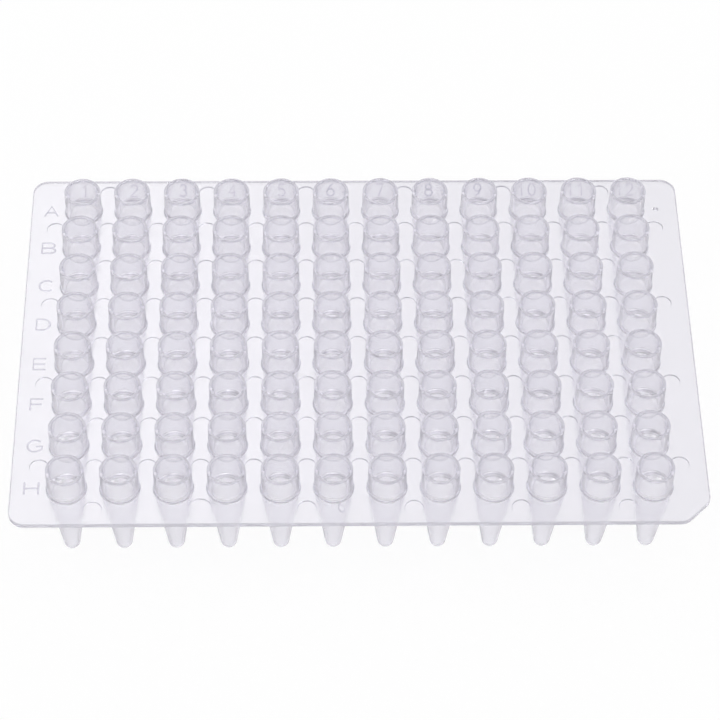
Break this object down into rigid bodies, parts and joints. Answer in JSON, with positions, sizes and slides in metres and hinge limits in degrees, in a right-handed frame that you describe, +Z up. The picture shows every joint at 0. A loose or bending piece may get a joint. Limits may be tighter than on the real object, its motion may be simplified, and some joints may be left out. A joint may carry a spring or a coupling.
{
  "type": "well plate",
  "caption": "Unskirted clear plastic well plate: a thin flat deck carries a grid of raised collars with conical tubes below, and one corner is cut.",
  "frame": {"origin": "on the plane of the tube tips, below the centre of the deck", "axes": "+X along the columns from 1 to 12, +Y from row H to row A, +Z up out of the wells"},
  "size_m": [0.118, 0.078, 0.0214],
  "materials": {
    "clear_plastic": "clear polypropylene, gloss"
  },
  "bodies": {
    "root": {"well_plate": "clear_plastic"}
  },
  "joints": []
}
